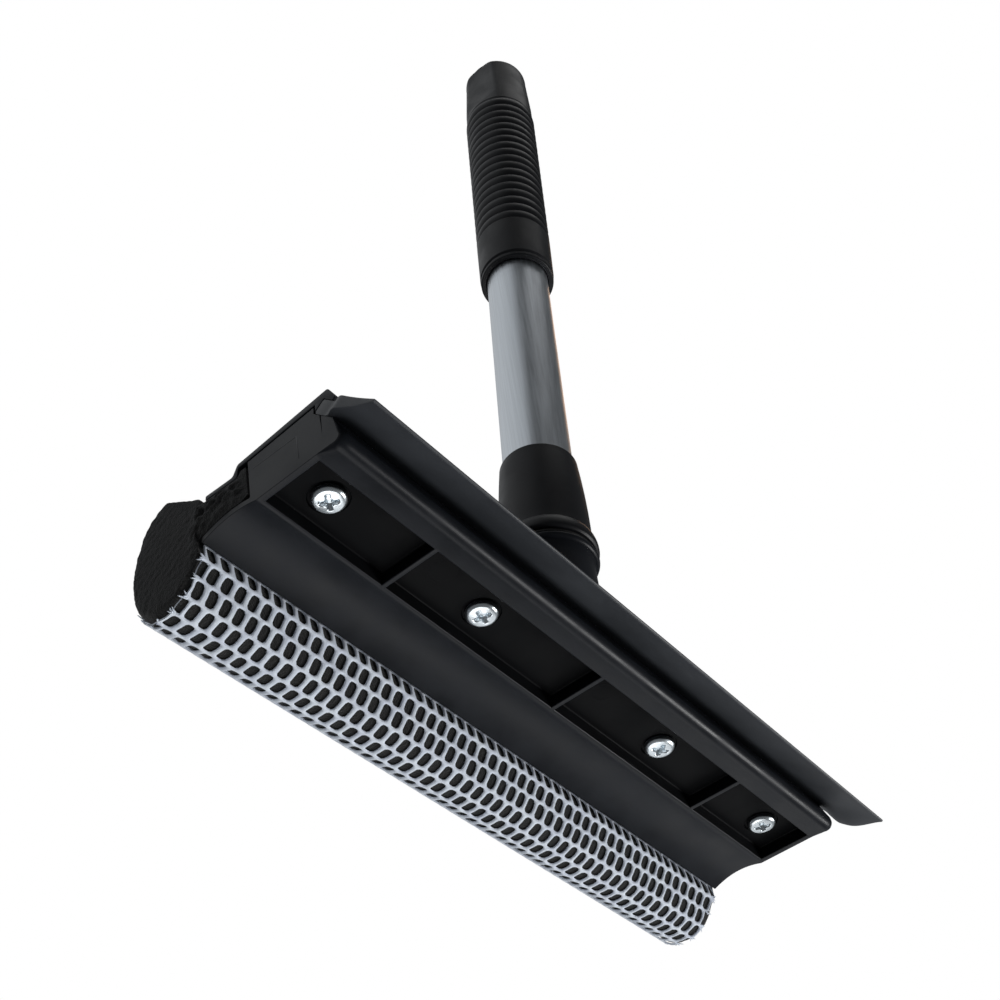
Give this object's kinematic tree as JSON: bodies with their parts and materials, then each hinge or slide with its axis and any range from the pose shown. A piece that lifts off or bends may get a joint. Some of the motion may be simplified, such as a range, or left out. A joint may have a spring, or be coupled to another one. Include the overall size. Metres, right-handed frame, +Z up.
{
  "type": "glass squeegee",
  "caption": "Window squeegee with a clamped rubber blade, a netted foam bar opposite it, and a straight grip handle that unscrews from the neck of its long head.",
  "frame": {"origin": "under the middle of the whole tool, at the height of the net's lowest point", "axes": "+X along the head, -Y towards the rubber blade, +Y towards the foam bar, +Z up towards the grip's end"},
  "size_m": [0.208, 0.0788, 0.3313],
  "materials": {
    "black_plastic": "semi-matte black moulding with a bluish sheen",
    "grip_plastic": "soft matte black",
    "blade_rubber": "smooth dark rubber",
    "charcoal_foam": "open-cell charcoal foam",
    "white_net": "knitted white net",
    "zinc_steel": "bright zinc plate",
    "satin_aluminium": "satin drawn tube",
    "sealing_rubber": "matte black"
  },
  "bodies": {
    "head": {"back_housing": "black_plastic", "front_cover": "black_plastic", "rubber_blade": "blade_rubber", "foam_sponge": "charcoal_foam", "net_sleeve": "white_net", "cover_screw_1": "zinc_steel", "cover_screw_2": "zinc_steel", "cover_screw_3": "zinc_steel", "cover_screw_4": "zinc_steel"},
    "washer": {"ferrule_washer": "sealing_rubber"},
    "handle": {"handle_ferrule": "grip_plastic", "handle_tube": "satin_aluminium", "grip_sleeve": "grip_plastic"}
  },
  "joints": [
    {"name": "handle_rise", "type": "slide", "parent": "head", "child": "washer", "axis": [0, -0.06, 0.9982], "range_m": [0, 0.0168]},
    {"name": "handle_turn", "type": "hinge", "parent": "washer", "child": "handle", "pos_m": [0, -0.00926, 0.06042], "axis": [0, -0.06, 0.9982], "range_deg": [0, 1440.5]}
  ],
  "couplings": [
    {"joint": "handle_turn", "follows": "handle_rise", "rad_per_m": 1496}
  ]
}
